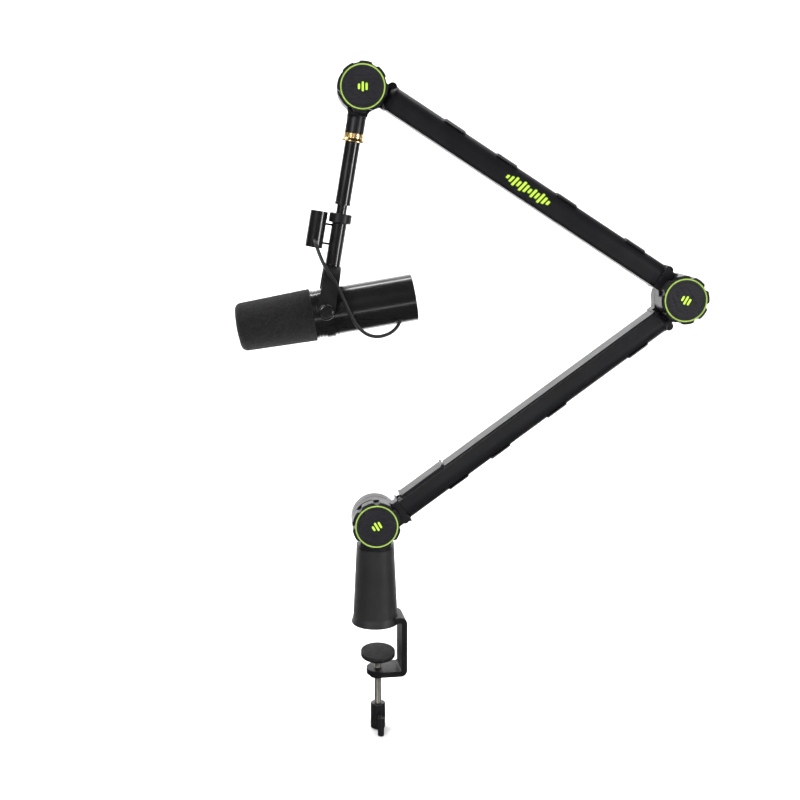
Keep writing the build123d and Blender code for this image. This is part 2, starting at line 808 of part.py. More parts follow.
with BuildPart() as mount_nut:
    with BuildSketch(drop_plane(nut_from)):
        Circle(nut_radius)
    extrude(amount=nut_height)
    chamfer(mount_nut.edges(), nut_chamfer)
    with BuildSketch(drop_plane(nut_from)):
        Circle(neck_radius + running)
    extrude(amount=nut_height, mode=Mode.SUBTRACT)
save(mount_nut.part, "mount_nut")

# ---- yoke ----
with BuildPart() as yoke_post:
    with BuildSketch(drop_plane(post_from)):
        Circle(post_radius)
    extrude(amount=post_length)
    with BuildSketch(drop_plane(yoke_top)):
        Circle(post_rivet_radius)
    extrude(amount=yoke_thick)
    with BuildSketch(drop_plane(yoke_top + yoke_thick)):
        Circle(rivet_head_radius)
    extrude(amount=rivet_head)
    with BuildSketch(drop_plane(post_from)):
        Circle(neck_radius + running)
    extrude(amount=post_socket, mode=Mode.SUBTRACT)
save(yoke_post.part, "yoke_post")

yoke_height = pivot_drop - yoke_top
arch_plane = Plane(origin=pivot, x_dir=back, z_dir=drop_side)
with BuildPart() as yoke_bracket:
    with BuildSketch(arch_plane) as arch:
        with Locations((0, yoke_height / 2)):
            Rectangle(2 * yoke_outer, yoke_height)
        fillet(arch.vertices().group_by(Axis.Y)[-1], yoke_corner + yoke_thick)
        with BuildSketch(mode=Mode.SUBTRACT) as inside:
            with Locations((0, (yoke_height - yoke_thick) / 2)):
                Rectangle(2 * yoke_inner, yoke_height - yoke_thick)
            fillet(inside.vertices().group_by(Axis.Y)[-1], yoke_corner)
    extrude(amount=yoke_width / 2, both=True)
    for face_at in (-yoke_outer, yoke_inner):
        with BuildSketch(facing_plane(pivot, drop, face_at)):
            Circle(yoke_end_radius)
        extrude(amount=yoke_thick)
        with BuildSketch(facing_plane(pivot, drop, face_at)):
            Circle(stem_radius + running)
        extrude(amount=yoke_thick, mode=Mode.SUBTRACT)
    with BuildSketch(drop_plane(yoke_top)):
        Circle(post_rivet_radius)
    extrude(amount=yoke_thick, mode=Mode.SUBTRACT)
save(yoke_bracket.part, "yoke_bracket")


def make_yoke_knob(side, name):
    """Domed thumb knob with its stem through the yoke leg; side is -1 front, 1 back."""
    inner_face = side * (yoke_outer + gap)
    outward = Plane(origin=(pivot.X, inner_face, pivot.Z), x_dir=drop, z_dir=back * side)
    with BuildPart() as knob:
        with BuildSketch(outward):
            Circle(yoke_knob_radius)
        extrude(amount=yoke_knob_depth)
        fillet(knob.faces().sort_by(Axis.Y)[-1 if side > 0 else 0].edges(), yoke_knob_dome)
        with BuildSketch(outward.offset(-stem_length)):
            Circle(stem_radius)
        extrude(amount=stem_length)
    save(knob.part, name)


make_yoke_knob(-1, "front_yoke_knob")
make_yoke_knob(1, "rear_yoke_knob")

# ---- connector shell, insert and contact pins ----
shell_line = head - drop_side * shell_offset


def shell_plane(distance):
    """Plane across the connector shell, local z down along it."""
    return Plane(origin=shell_line + drop * distance, x_dir=drop_side, z_dir=drop)


insert_from = shell_from + shell_depth - insert_thick
with BuildPart() as xlr_shell:
    with BuildSketch(shell_plane(shell_from)):
        Circle(shell_radius)
    extrude(amount=shell_length)
    for lug_at in lug_drops:
        with BuildSketch(shell_plane(lug_at - lug_thick / 2)):
            with Locations((shell_offset / 2, 0)):
                Rectangle(shell_offset, lug_width)
            with Locations((shell_offset, 0)):
                Circle(post_radius, mode=Mode.SUBTRACT)
        extrude(amount=lug_thick)
    with BuildSketch(facing_plane(shell_line + drop * exit_drop, drop, -shell_radius - exit_rim)):
        Circle(exit_rim_radius)
    extrude(amount=shell_radius)
    fillet(xlr_shell.faces().sort_by(Axis.Y)[0].edges(), exit_rim / 2)
    with BuildSketch(shell_plane(shell_from)):
        Circle(shell_bore)
    extrude(amount=shell_depth, mode=Mode.SUBTRACT)
save(xlr_shell.part, "xlr_shell")

with BuildPart() as xlr_insert:
    with BuildSketch(shell_plane(insert_from)):
        Circle(insert_radius)
        with PolarLocations(pin_circle, 3, start_angle=30):
            Circle(pin_radius, mode=Mode.SUBTRACT)
    extrude(amount=insert_thick)
save(xlr_insert.part, "xlr_insert")

with BuildPart() as xlr_pins:
    with BuildSketch(shell_plane(insert_from - pin_length)):
        with PolarLocations(pin_circle, 3, start_angle=30):
            Circle(pin_radius)
    extrude(amount=pin_length + insert_thick)
save(xlr_pins.part, "xlr_pins")


# ---- microphone ----
def mic_plane(distance):
    """Plane across the microphone: local x towards +Y, local y up, local z to the rear."""
    return Plane(origin=mic_centre + mic_axis * distance, x_dir=back, z_dir=mic_axis)


mic_side = Plane(origin=mic_centre, x_dir=mic_axis, z_dir=-back)
mic_line = Axis(mic_centre, mic_axis)


def add_ring(start, end, outer, inner=0.0, mode=Mode.ADD):
    """A round or ring-shaped length of the microphone."""
    with BuildSketch(mic_plane(start)) as ring:
        Circle(outer)
        if inner:
            Circle(inner, mode=Mode.SUBTRACT)
    extrude(ring.sketch, amount=end - start, mode=mode)


gland_radial = back * -math.cos(math.radians(gland_angle)) - mic_up * math.sin(math.radians(gland_angle))
gland_out = gland_radial * math.cos(math.radians(gland_lean)) - mic_axis * math.sin(math.radians(gland_lean))
gland_seat = mic_centre + mic_axis * gland_at + gland_radial * (body_radius - body_wall)
gland_plane = Plane(origin=gland_seat, x_dir=gland_out.cross(gland_radial), z_dir=gland_out)
with BuildPart() as mic_body:
    add_ring(collar_rear, mic_rear, body_radius)
    fillet(mic_body.faces().sort_by(Axis.X)[-1].edges(), body_wall / 2)
    add_ring(collar_rear, mic_rear, body_radius - body_wall, mode=Mode.SUBTRACT)
    with BuildSketch(gland_plane):
        Circle(gland_radius)
    extrude(amount=4 * body_wall, both=True, mode=Mode.SUBTRACT)
save(mic_body.part, "mic_body")

with BuildPart() as mic_cable_gland:
    with BuildSketch(gland_plane):
        Circle(gland_radius)
    extrude(amount=body_wall + gland_proud)
    fillet(mic_cable_gland.faces().sort_by(Axis(gland_seat, gland_out))[-1].edges(), gland_radius / 5)
save(mic_cable_gland.part, "mic_cable_gland")

with BuildPart() as mic_collar:
    add_ring(collar_front, collar_rear, collar_radius, collar_bore)
    for groove_at in (collar_front + 3, collar_front + 6, collar_rear - 3):
        add_ring(groove_at, groove_at + 1.2, collar_radius + 1, collar_radius - collar_groove, Mode.SUBTRACT)
    for side in (-1, 1):
        reach = yoke_inner - gap
        with BuildSketch(Plane(
            origin=(pivot.X, side * (collar_bore + 1), pivot.Z), x_dir=mic_axis, z_dir=back * side
        )):
            Circle(pivot_boss_radius)
        extrude(amount=reach - collar_bore - 1)
        with BuildSketch(Plane(
            origin=(pivot.X, side * (reach - pivot_hole_depth), pivot.Z), x_dir=mic_axis, z_dir=back * side
        )):
            Circle(stem_radius + running)
        extrude(amount=pivot_hole_depth, mode=Mode.SUBTRACT)
    with BuildSketch(mic_plane(-3)):
        Circle(collar_radius + 1.2)
        Circle(collar_radius - 1, mode=Mode.SUBTRACT)
        with BuildLine():
            Polyline((0, 0), (-60, -30), (-60, -90), (-24, -90), close=True)
        make_face(mode=Mode.INTERSECT)
    extrude(amount=9)
save(mic_collar.part, "mic_collar")

foam_rear = collar_front
with BuildPart() as mic_windscreen:
    with BuildSketch(mic_side) as foam:
        with BuildLine():
            flank = Line((foam_rear, foam_radius), (mic_front + foam_crown, foam_front_radius))
            nose = Line(flank @ 1, (mic_front + foam_crown, 0))
            bottom = Line(nose @ 1, (foam_rear, 0))
            Line(bottom @ 1, flank @ 0)
        make_face()
        corner = foam.vertices().group_by(Axis.Y)[-2]
        fillet(corner, foam_front_edge)
        with Locations(((foam_rear + grille_front - gap) / 2, foam_bore / 2)):
            Rectangle(foam_rear - grille_front + gap, foam_bore, mode=Mode.SUBTRACT)
    revolve(axis=mic_line)
save(mic_windscreen.part, "mic_windscreen")

with BuildPart() as mic_grille:
    add_ring(grille_front, collar_front, grille_radius)
    fillet(mic_grille.faces().sort_by(Axis.X)[0].edges(), 6)
    add_ring(grille_front + grille_wall, collar_front, grille_radius - grille_wall, mode=Mode.SUBTRACT)
    add_ring(collar_front - 2, collar_front, foam_bore, grille_radius - grille_wall)
    window_length = (collar_front - grille_front) / 3
    for share in (0.3, 0.68):
        window_at = grille_front + share * (collar_front - grille_front)
        for turn in range(grille_windows):
            around = mic_up.rotate(mic_line, 360 * turn / grille_windows)
            with BuildSketch(Plane(origin=mic_centre + mic_axis * window_at, x_dir=mic_axis, z_dir=around)):
                SlotOverall(window_length, grille_window_width)
            extrude(amount=foam_bore, mode=Mode.SUBTRACT)
save(mic_grille.part, "mic_grille")

with BuildPart() as mic_shock_mount:
    add_ring(capsule_rear, mount_rear, collar_bore, capsule_neck_radius)
    add_ring(capsule_rear, collar_front, collar_bore + 1, grille_radius - grille_wall - seat, Mode.SUBTRACT)
save(mic_shock_mount.part, "mic_shock_mount")

with BuildPart() as mic_capsule:
    add_ring(capsule_front, capsule_rear, capsule_radius)
    chamfer(mic_capsule.faces().sort_by(Axis.X)[0].edges(), 2)
    add_ring(capsule_rear, mount_rear + 6, capsule_neck_radius)
save(mic_capsule.part, "mic_capsule")

slot_length = switch_width + 2 * switch_travel + 2 * switch_slot_clear
switch_spots = {"low_cut_switch": -switch_offset, "presence_switch": switch_offset}
with BuildPart() as mic_rear_plate:
    add_ring(rear_plate_at, rear_plate_at + rear_plate_thick, body_radius - body_wall)
    with BuildSketch(mic_plane(rear_plate_at)):
        with Locations(*[(spot, 0) for spot in switch_spots.values()]):
            Rectangle(switch_width + 2 * switch_slot_clear, slot_length)
    extrude(amount=rear_plate_thick, mode=Mode.SUBTRACT)
save(mic_rear_plate.part, "mic_rear_plate")

for name, spot in switch_spots.items():
    with BuildPart() as switch:
        with BuildSketch(mic_plane(rear_plate_at - gap - switch_flange)):
            with Locations((spot, 0)):
                Rectangle(2 * switch_width, 2 * switch_width + 2 * switch_travel)
        extrude(amount=switch_flange)
        with BuildSketch(mic_plane(rear_plate_at - gap)):
            with Locations((spot, 0)):
                Rectangle(switch_width, switch_width)
        extrude(amount=gap + rear_plate_thick + 1)
    save(switch.part, name)

# ---- captive lead from the connector shell to the gland ----
lead_start = shell_line + drop * exit_drop - back * (shell_radius + exit_rim)
lead_end = gland_seat + gland_out * (body_wall + gland_proud)
route = [
    lead_start,
    lead_start - back * cable_exit,
    Vector(-61.8, -28.5, 417.5),
    Vector(-57.0, -33.5, 404.3),
    Vector(-50.5, -36.5, 392.5),
    Vector(-43.0, -38.0, 381.0),
    Vector(-36.6, -38.0, 368.5),
    Vector(-30.6, -37.0, 355.0),
    Vector(-24.2, -35.0, 341.0),
    Vector(-16.0, -32.0, 329.8),
    Vector(-5.0, -29.0, 323.3),
    Vector(7.5, -26.0, 323.0),
    lead_end + gland_out * cable_lead,
    lead_end,
]
runs = [after - before for before, after in zip(route, route[1:])]
bends = [
    0.45 * min(into.length, out.length) / math.tan(math.radians(into.get_angle(out) / 2))
    for into, out in zip(runs, runs[1:])
]
print("cable bend radii", [round(bend, 1) for bend in bends])
with BuildPart() as mic_cable:
    with BuildLine() as cable_path:
        FilletPolyline(*route, radius=bends)
    with BuildSketch(Plane(origin=route[0], z_dir=cable_path.wire() % 0)):
        Circle(cable_radius)
    sweep()
print("cable length", round(cable_path.wire().length, 1))
print("cable volume", round(mic_cable.part.volume, 1),
      "section times length", round(math.pi * cable_radius ** 2 * cable_path.wire().length, 1))
save(mic_cable.part, "mic_cable")
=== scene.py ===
import json
import math

import bmesh
import bpy
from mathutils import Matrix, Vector, noise


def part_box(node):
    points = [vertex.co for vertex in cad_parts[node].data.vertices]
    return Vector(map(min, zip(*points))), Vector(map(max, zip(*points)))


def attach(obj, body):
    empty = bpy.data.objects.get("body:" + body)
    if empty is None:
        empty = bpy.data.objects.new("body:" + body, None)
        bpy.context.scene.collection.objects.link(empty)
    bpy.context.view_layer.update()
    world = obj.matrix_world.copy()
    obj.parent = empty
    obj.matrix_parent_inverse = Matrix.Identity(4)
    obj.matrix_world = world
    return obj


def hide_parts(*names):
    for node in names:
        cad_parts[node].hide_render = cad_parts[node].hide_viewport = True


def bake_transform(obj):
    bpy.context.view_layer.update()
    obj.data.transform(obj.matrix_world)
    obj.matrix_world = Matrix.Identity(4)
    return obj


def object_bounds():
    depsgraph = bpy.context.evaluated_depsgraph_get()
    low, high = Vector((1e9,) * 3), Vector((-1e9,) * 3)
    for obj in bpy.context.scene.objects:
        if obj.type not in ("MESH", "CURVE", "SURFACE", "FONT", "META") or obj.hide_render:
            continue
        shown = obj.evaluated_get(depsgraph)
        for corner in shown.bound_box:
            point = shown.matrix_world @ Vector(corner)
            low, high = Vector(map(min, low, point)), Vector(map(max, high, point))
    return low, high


# Looks for a broadcast microphone on a desk boom. Metres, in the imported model's frame:
# +Z up, the knobs face -Y, and both arms lie in the plane Y = 0.

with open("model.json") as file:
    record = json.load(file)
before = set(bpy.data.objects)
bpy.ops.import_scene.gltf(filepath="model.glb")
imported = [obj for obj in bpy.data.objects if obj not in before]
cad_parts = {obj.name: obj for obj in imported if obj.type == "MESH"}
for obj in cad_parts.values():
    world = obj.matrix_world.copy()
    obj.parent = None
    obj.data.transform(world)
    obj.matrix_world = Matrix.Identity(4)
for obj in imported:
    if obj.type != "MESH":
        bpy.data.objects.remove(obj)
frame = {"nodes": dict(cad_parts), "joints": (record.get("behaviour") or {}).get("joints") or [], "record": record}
cad_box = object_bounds()
nodes = frame["nodes"]
joints = {joint["name"]: joint for joint in frame["joints"]}

# ---- places read from the frame ----
shoulder = Vector(joints["shoulder_pivot"]["pos_m"])
elbow = Vector(joints["elbow_pivot"]["pos_m"])
head = Vector(joints["head_pivot"]["pos_m"])
tilt_pivot = Vector(joints["mic_tilt"]["pos_m"])
screw_axis = Vector(joints["clamp_screw_turn"]["pos_m"])
front = Vector((0, -1, 0))
upper_along = (head - elbow).normalized()

# ---- microphone, as in the CAD, from the tilt axis along its own axis ----
MIC_TILT = math.radians(9.5)
AXIS_BELOW_PIVOT = 0.0045
FOAM_FRONT = -0.0970
FOAM_REAR = -0.014
FOAM_REAR_RADIUS = 0.0283
FOAM_FRONT_RADIUS = 0.0259
FOAM_EDGE = 0.007
FOAM_CROWN = 0.0015
FOAM_RIM_INSET = 0.004
FOAM_RIM_ROUND = 0.0012
FOAM_RIM_CUT = 0.0004
FOAM_SIDE_STEPS = 68
FOAM_EDGE_STEPS = 12
FOAM_NOSE_STEPS = 20
FOAM_AROUND = 190

# ---- foam skin: two sizes of lump, sunk inwards so the foam stays inside the CAD box ----
FOAM_ROUGHNESS = 0.00022
FOAM_FINE_SCALE = 900
FOAM_COARSE_SCALE = 330
FOAM_COARSE_SHARE = 0.6
FOAM_SINK = 0.8
FOAM_PUSH_OUT = 0.8
FOAM_PUSH_FORWARD = 0.2

# ---- captive lead: control points of its route, from the connector shell to the gland ----
LEAD_DIAMETER = 0.0039
LEAD_STEPS = 12
LEAD_FACETS = 6
LEAD_ROUTE = [
    (-0.06364, -0.0103, 0.42379),
    (-0.06364, -0.0208, 0.42379),
    (-0.0618, -0.0285, 0.4175),
    (-0.0570, -0.0335, 0.4043),
    (-0.0505, -0.0365, 0.3925),
    (-0.0430, -0.0380, 0.3810),
    (-0.0366, -0.0380, 0.3685),
    (-0.0306, -0.0370, 0.3550),
    (-0.0242, -0.0350, 0.3410),
    (-0.0160, -0.0320, 0.3298),
    (-0.0050, -0.0290, 0.3233),
    (0.0075, -0.0260, 0.3230),
    (0.02075, -0.02115, 0.32892),
    (0.02485, -0.01685, 0.33562),
]

# ---- camera and studio ----
CAMERA_AT = (-0.077, -1.36, 0.495)
CAMERA_DOWN = 8.043
CAMERA_RIGHT = 4.039
CAMERA_LENS = 57.41
CAMERA_SHIFT = (0.0094, -0.0596)
CAMERA_SENSOR = 36
CAMERA_FAR = 50
FLOOR_GAP = 0.0005
SWEEP_FROM = 1.6
SWEEP_RADIUS = 1.2
SWEEP_STEPS = 12
SWEEP_WALL = 5
SHEETS_MEET = 0.35
FRONT_SWEEP_SHIFT = 1.0
SHEET_HALF_WIDTH = 6
PAPER_COLOR = (0.93, 0.93, 0.93)
PAPER_ROUGHNESS = 0.9
WORLD_STRENGTH = 0.06

# ---- span of a noise texture that the materials spread over their range ----
NOISE_LOW = 0.3
NOISE_HIGH = 0.7
TOOL_LINE_STRETCH = (1, 1, 30)


# ---- materials ----
class Finish:
    """A Principled material with a short chain of texture nodes in object space."""

    def __init__(self, name, color, roughness, metallic=0.0):
        self.material = bpy.data.materials.new(name)
        self.material.use_nodes = True
        self.tree = self.material.node_tree
        self.shader = self.tree.nodes["Principled BSDF"]
        self.shader.inputs["Base Color"].default_value = (*color, 1)
        self.shader.inputs["Roughness"].default_value = roughness
        self.shader.inputs["Metallic"].default_value = metallic
        self.color = color
        self.roughness = roughness
        self.place = self.node("ShaderNodeTexCoord").outputs["Object"]
        self.normal = None

    def node(self, kind, **settings):
        """Add a node and set its properties."""
        made = self.tree.nodes.new(kind)
        for key, value in settings.items():
            setattr(made, key, value)
        return made

    def link(self, source, target):
        self.tree.links.new(source, target)

    def noise(self, scale, detail, stretch=None):
        """Noise, stretched along an axis if asked."""
        texture = self.node("ShaderNodeTexNoise")
        texture.inputs["Scale"].default_value = scale
        texture.inputs["Detail"].default_value = detail
        source = self.place
        if stretch:
            mapping = self.node("ShaderNodeMapping")
            mapping.inputs["Scale"].default_value = stretch
            self.link(source, mapping.inputs["Vector"])
            source = mapping.outputs["Vector"]
        self.link(source, texture.inputs["Vector"])
        return texture.outputs["Fac"]

    def cells(self, scale):
        """Distance to the nearest of many scattered points, for foam's pores."""
        texture = self.node("ShaderNodeTexVoronoi", feature="F1")
        texture.inputs["Scale"].default_value = scale
        self.link(self.place, texture.inputs["Vector"])
        return texture.outputs["Distance"]

    def spread(self, source, low, high):
        """Stretch a texture's middle span over the range from low to high."""
        ranged = self.node("ShaderNodeMapRange")
        ranged.inputs["From Min"].default_value = NOISE_LOW
        ranged.inputs["From Max"].default_value = NOISE_HIGH
        ranged.inputs["To Min"].default_value = low
        ranged.inputs["To Max"].default_value = high
        self.link(source, ranged.inputs["Value"])
        return ranged.outputs["Result"]

    def vary_roughness(self, source, amount):
        """Make the roughness uneven by this much either way."""
        result = self.spread(source, self.roughness - amount, self.roughness + amount)
        self.link(result, self.shader.inputs["Roughness"])

    def vary_color(self, source, darker, lighter):
        """Make the colour uneven between two multiples of the base colour."""
        ramp = self.node("ShaderNodeValToRGB")
        ramp.color_ramp.elements[0].position = NOISE_LOW
        ramp.color_ramp.elements[1].position = NOISE_HIGH
        ramp.color_ramp.elements[0].color = (*[c * darker for c in self.color], 1)
        ramp.color_ramp.elements[1].color = (*[min(1, c * lighter) for c in self.color], 1)
        self.link(source, ramp.inputs["Fac"])
        self.link(ramp.outputs["Color"], self.shader.inputs["Base Color"])

    def soften_edges(self, radius):
        """Round the shading of sharp edges."""
        bevel = self.node("ShaderNodeBevel", samples=4)
        bevel.inputs["Radius"].default_value = radius
        self.normal = bevel.outputs["Normal"]
        self.link(self.normal, self.shader.inputs["Normal"])

    def bump(self, source, depth, strength=1.0):
        """Add relief of this depth on top of what is there."""
        bump = self.node("ShaderNodeBump")
        bump.inputs["Distance"].default_value = depth
        bump.inputs["Strength"].default_value = strength
        self.link(source, bump.inputs["Height"])
        if self.normal:
            self.link(self.normal, bump.inputs["Normal"])
        self.normal = bump.outputs["Normal"]
        self.link(self.normal, self.shader.inputs["Normal"])

    def set(self, **sockets):
        """Set sockets of the shader, with _ for each space in a name."""
        for name, value in sockets.items():
            self.shader.inputs[name.replace("_", " ")].default_value = value
        return self


def powder_coat(name, color, roughness, grain=1800, depth=0.00003):
    """Satin black powder coat: a fine orange peel and faint patches of sheen."""
    finish = Finish(name, color, roughness)
    finish.vary_roughness(finish.noise(60, 3), 0.04)
    finish.vary_color(finish.noise(25, 5), 0.85, 1.15)
    finish.soften_edges(0.0006)
    finish.bump(finish.noise(grain, 3), depth)
    return finish.set(Specular_IOR_Level=0.32).material


def enamel(name, color, roughness):
    """Smooth sprayed enamel with a clear gloss."""
    finish = Finish(name, color, roughness)
    finish.vary_roughness(finish.noise(90, 4), 0.03)
    finish.vary_color(finish.noise(30, 4), 0.9, 1.1)
    finish.soften_edges(0.0004)
    finish.bump(finish.noise(700, 2), 0.000008)
    return finish.set(Coat_Weight=0.25, Coat_Roughness=0.12).material


def moulded(name, color, roughness, grain=3200, depth=0.00002):
    """Moulded plastic with a fine spark-eroded texture."""
    finish = Finish(name, color, roughness)
    finish.vary_roughness(finish.noise(120, 3), 0.05)
    finish.vary_color(finish.noise(45, 4), 0.9, 1.12)
    finish.soften_edges(0.0005)
    finish.bump(finish.noise(grain, 2), depth)
    return finish.set(Specular_IOR_Level=0.38).material


def rubber(name, color, roughness):
    """Rubber with a dull, slightly uneven skin."""
    finish = Finish(name, color, roughness)
    finish.vary_roughness(finish.noise(150, 5), 0.07)
    finish.vary_color(finish.noise(80, 4), 0.8, 1.25)
    finish.bump(finish.noise(1400, 4), 0.00003)
    return finish.material


def machined(name, color, roughness):
    """Turned or drawn metal with fine tool lines across its length."""
    finish = Finish(name, color, roughness, metallic=1.0)
    lines = finish.noise(260, 6, TOOL_LINE_STRETCH)
    finish.vary_roughness(lines, 0.07)
    finish.vary_color(finish.noise(70, 4), 0.82, 1.1)
    finish.soften_edges(0.0003)
    finish.bump(lines, 0.000012)
    return finish.material


def foam_skin():
    """Open-cell foam: painted shade darkens the middle of each cell, so pores read dark between slightly lighter
    struts.
    """
    finish = Finish("windscreen_foam", (0.0075, 0.0077, 0.0082), 0.95)
    pores = finish.cells(1500)
    # painted shade: colour darker towards each cell's middle, standing in for the shade inside the pores
    finish.vary_color(finish.cells(1100), 0.35, 1.9)
    finish.bump(pores, 0.0004, 0.9)
    finish.bump(finish.noise(500, 5), 0.0003, 0.5)
    return finish.set(Sheen_Weight=0.1, Sheen_Roughness=0.5, Specular_IOR_Level=0.2).material


def thread_steel():
    """Zinc plate, a little dull."""
    finish = Finish("zinc_plate", (0.40, 0.38, 0.35), 0.4, metallic=1.0)
    finish.vary_roughness(finish.noise(500, 4), 0.08)
    finish.vary_color(finish.noise(160, 5), 0.8, 1.1)
    finish.bump(finish.noise(2500, 3), 0.00001)
    return finish.material


SATIN = powder_coat("satin_black", (0.0065, 0.0065, 0.008), 0.38)
CAP = powder_coat("hub_cap", (0.0085, 0.0085, 0.0098), 0.38)
CONE = powder_coat("cone_black", (0.0155, 0.015, 0.0165), 0.5, 1300, 0.00006)
GLOSS = enamel("gloss_black", (0.006, 0.006, 0.0065), 0.24)
KNOB = moulded("knob_black", (0.008, 0.008, 0.0095), 0.38)
CLIP = moulded("clip_plastic", (0.006, 0.006, 0.007), 0.36)
GREEN = moulded("knob_green", (0.30, 0.46, 0.075), 0.35, 2600, 0.000008)
MARK = moulded("mark_green", (0.5, 0.8, 0.06), 0.45, 2600, 0.000006)
BADGE = moulded("badge_black", (0.0095, 0.0095, 0.0135), 0.5, 3600, 0.000012)
BRASS = machined("brass", (0.86, 0.6, 0.27), 0.26)
ZINC = thread_steel()
FRAME = powder_coat("frame_black", (0.0035, 0.0035, 0.0038), 0.5, 1500, 0.00004)
CONTACT = machined("contact_pins", (0.8, 0.79, 0.75), 0.2)
SPRING = machined("spring_steel", (0.3, 0.3, 0.31), 0.38)
NYLON = moulded("nylon", (0.62, 0.61, 0.56), 0.5)
RUBBER = rubber("pad_rubber", (0.009, 0.009, 0.009), 0.7)
GRILLE = machined("grille_steel", (0.12, 0.12, 0.13), 0.45)
INSERT = moulded("insert_plastic", (0.012, 0.012, 0.012), 0.5)
JACKET = rubber("cable_jacket", (0.008, 0.008, 0.0085), 0.42)
FOAM = foam_skin()

FINISHES = {
    "satin_black": SATIN,
    "hub_cap": CAP,
    "gloss_black": GLOSS,
    "knob_black": KNOB,
    "clip_plastic": CLIP,
    "knob_green": GREEN,
    "badge_black": BADGE,
    "brass": BRASS,
    "zinc": ZINC,
    "frame_black": FRAME,
    "contact_pins": CONTACT,
    "spring_steel": SPRING,
    "nylon": NYLON,
    "pad_rubber": RUBBER,
    "foam": FOAM,
    "grille_steel": GRILLE,
    "insert_plastic": INSERT,
    "cable_jacket": JACKET,
}


def dress(piece, material):
    """Give a piece one material."""
    piece.data.materials.clear()
    piece.data.materials.append(material)


for subpart in frame["record"]["subparts"]:
    dress(nodes[subpart["node"]], FINISHES[subpart["material_slot"]])
dress(nodes["base_cone"], CONE)


# ---- mesh helpers ----
def finish_mesh(name, mesh, material, body, smooth=True):
    """Turn a bmesh into a piece that rides on a body."""
    data = bpy.data.meshes.new(name)
    bmesh.ops.recalc_face_normals(mesh, faces=mesh.faces)
    mesh.to_mesh(data)
    mesh.free()
    piece = bpy.data.objects.new(name, data)
    bpy.context.scene.collection.objects.link(piece)
    for polygon in data.polygons:
        polygon.use_smooth = smooth
    dress(piece, material)
    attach(piece, body)
    return piece


def add_grid(mesh, rows):
    """Skin between rings of points, each ring closed on itself, with both ends filled."""
    rings = [[mesh.verts.new(point) for point in row] for row in rows]
    for below, above in zip(rings, rings[1:]):
        count = len(below)
        for i in range(count):
            mesh.faces.new((below[i], below[(i + 1) % count], above[(i + 1) % count], above[i]))
    mesh.faces.new(rings[0])
    mesh.faces.new(rings[-1])


# ---- foam windscreen ----
mic_axis = Vector((math.cos(MIC_TILT), 0, math.sin(MIC_TILT)))
mic_up = Vector((-math.sin(MIC_TILT), 0, math.cos(MIC_TILT)))
mic_centre = tilt_pivot - mic_up * AXIS_BELOW_PIVOT


def foam_profile():
    """Half outline of the foam, from the rear edge to the middle of its nose."""
    nose = FOAM_FRONT + FOAM_CROWN
    taper = (FOAM_REAR_RADIUS - FOAM_FRONT_RADIUS) / (FOAM_REAR - nose)
    edge_at = nose + FOAM_EDGE
    edge_radius = FOAM_FRONT_RADIUS + taper * FOAM_EDGE
    points = [
        (FOAM_REAR, FOAM_REAR_RADIUS - FOAM_RIM_INSET),
        (FOAM_REAR, FOAM_REAR_RADIUS - FOAM_RIM_ROUND),
        (FOAM_REAR - FOAM_RIM_CUT, FOAM_REAR_RADIUS - FOAM_RIM_CUT),
        (FOAM_REAR - FOAM_RIM_ROUND, FOAM_REAR_RADIUS),
    ]
    for i in range(1, FOAM_SIDE_STEPS):
        share = i / FOAM_SIDE_STEPS
        at = FOAM_REAR - FOAM_RIM_ROUND + share * (edge_at - FOAM_REAR + FOAM_RIM_ROUND)
        points.append((at, edge_radius + taper * (at - edge_at)))
    for i in range(FOAM_EDGE_STEPS + 1):
        angle = math.radians(90 * i / FOAM_EDGE_STEPS)
        points.append((
            edge_at - FOAM_EDGE * math.sin(angle),
            edge_radius - FOAM_EDGE * (1 - math.cos(angle)),
        ))
    flat = edge_radius - FOAM_EDGE
    for i in range(1, FOAM_NOSE_STEPS):
        radius = flat * (1 - i / FOAM_NOSE_STEPS)
        points.append((nose - FOAM_CROWN * (1 - (radius / flat) ** 2), radius))
    return points


def make_windscreen():
    """Foam sleeve with an uneven open-cell skin."""
    rows = []
    for at, radius in foam_profile():
        row = []
        for i in range(FOAM_AROUND):
            angle = 2 * math.pi * i / FOAM_AROUND
            outward = mic_up * math.cos(angle) + front * math.sin(angle)
            point = mic_centre + mic_axis * at + outward * radius
            fine = noise.noise(point * FOAM_FINE_SCALE)
            coarse = FOAM_COARSE_SHARE * noise.noise(point * FOAM_COARSE_SCALE)
            push = outward * FOAM_PUSH_OUT - mic_axis * FOAM_PUSH_FORWARD
            point += push * (fine + coarse - FOAM_SINK) * FOAM_ROUGHNESS
            row.append(point)
        rows.append(row)
    mesh = bmesh.new()
    add_grid(mesh, rows)
    piece = finish_mesh("foam_windscreen", mesh, FOAM, "microphone")
    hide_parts("mic_windscreen")


make_windscreen()


